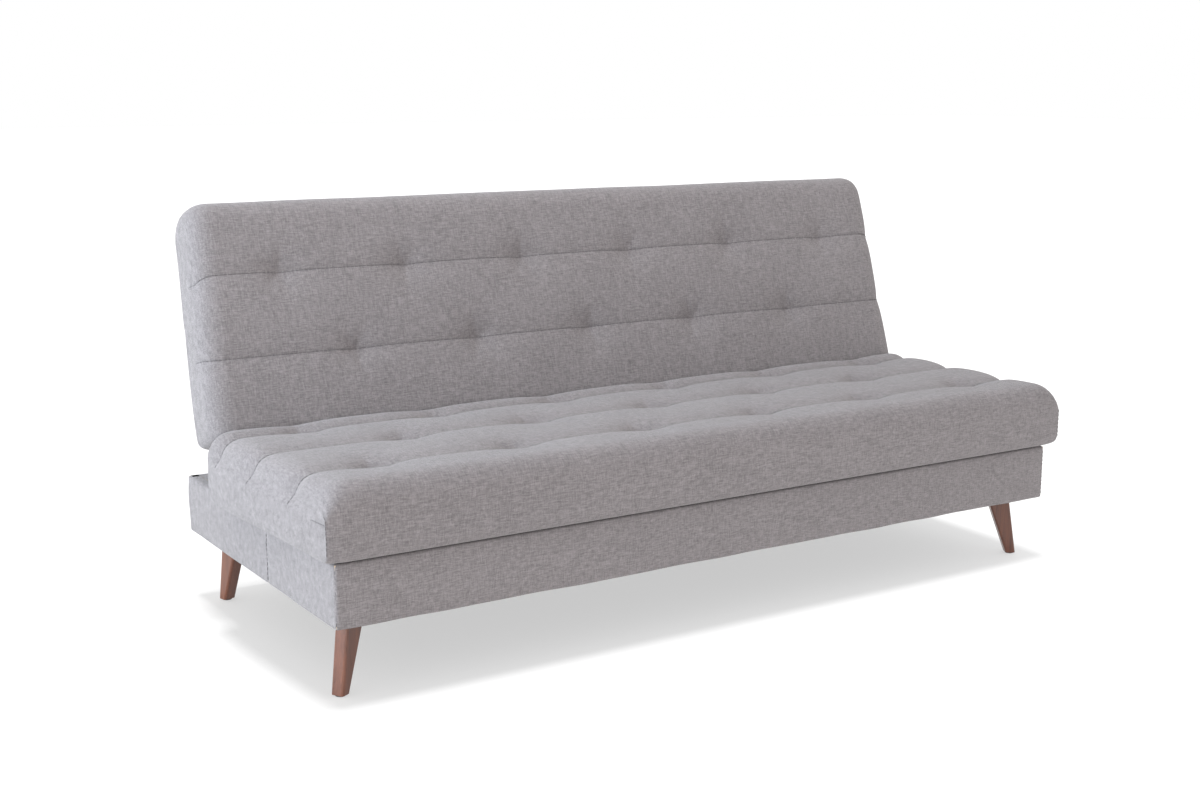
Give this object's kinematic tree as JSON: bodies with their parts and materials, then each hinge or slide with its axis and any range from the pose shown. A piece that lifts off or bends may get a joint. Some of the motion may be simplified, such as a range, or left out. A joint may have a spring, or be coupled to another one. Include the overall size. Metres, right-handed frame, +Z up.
{
  "type": "futon sofa bed",
  "caption": "Upholstered sofa bed: a storage box base on splayed wooden legs, a seat that lifts and a back that reclines flat in line with the seat.",
  "frame": {"origin": "on the floor under the middle of the whole object's box", "axes": "+Z up, X along the length, the front faces -Y"},
  "size_m": [1.92, 0.8717, 0.8899],
  "materials": {
    "upholstery": "matte",
    "lining": "matte",
    "foam": "matte",
    "walnut": "satin",
    "plywood": "matte",
    "softwood": "matte",
    "black_steel": "satin",
    "zinc": "satin",
    "glide_plastic": "matte",
    "bumper_rubber": "matte",
    "felt": "matte"
  },
  "bodies": {
    "base": {"base_cover": "upholstery", "base_dust_cover": "lining", "base_floor": "plywood", "centre_divider": "plywood", "corner_blocks": "softwood", "deck_bumpers": "bumper_rubber", "deck_cover": "upholstery", "deck_posts": "softwood", "end_panel_left": "plywood", "end_panel_right": "plywood", "floor_battens": "softwood", "front_panel": "plywood", "hinge_bolts": "zinc", "hinge_nuts": "zinc", "hinge_plate_left": "black_steel", "hinge_plate_right": "black_steel", "hinge_plate_screws": "zinc", "hinge_spacer_left": "softwood", "hinge_spacer_right": "softwood", "leg_bolts": "zinc", "leg_front_left": "walnut", "leg_front_right": "walnut", "leg_glides": "glide_plastic", "leg_plates": "black_steel", "leg_rear_left": "walnut", "leg_rear_right": "walnut", "rear_deck": "plywood", "rear_panel": "plywood", "seat_felt_strip": "felt"},
    "seat": {"seat_arm_left": "black_steel", "seat_arm_right": "black_steel", "seat_arm_screws": "zinc", "seat_centre_rail": "softwood", "seat_cover": "upholstery", "seat_dust_cover": "lining", "seat_end_rail_left": "softwood", "seat_end_rail_right": "softwood", "seat_foam": "foam", "seat_front_rail": "softwood", "seat_rear_rail": "softwood", "seat_slats": "softwood"},
    "back": {"back_arm_left": "black_steel", "back_arm_right": "black_steel", "back_arm_screws": "zinc", "back_bottom_rail": "softwood", "back_centre_rail": "softwood", "back_cover": "upholstery", "back_end_rail_left": "softwood", "back_end_rail_right": "softwood", "back_foam": "foam", "back_rear_cloth": "lining", "back_slats": "softwood", "back_top_rail": "softwood"}
  },
  "joints": [
    {"name": "seat_lift", "type": "hinge", "parent": "base", "child": "seat", "pos_m": [0, 0.1787, 0.41], "axis": [-1, 0, 0], "range_deg": [0, 30]},
    {"name": "back_recline", "type": "hinge", "parent": "base", "child": "back", "pos_m": [0, 0.1787, 0.41], "axis": [-1, 0, 0], "range_deg": [0, 70.5]}
  ]
}
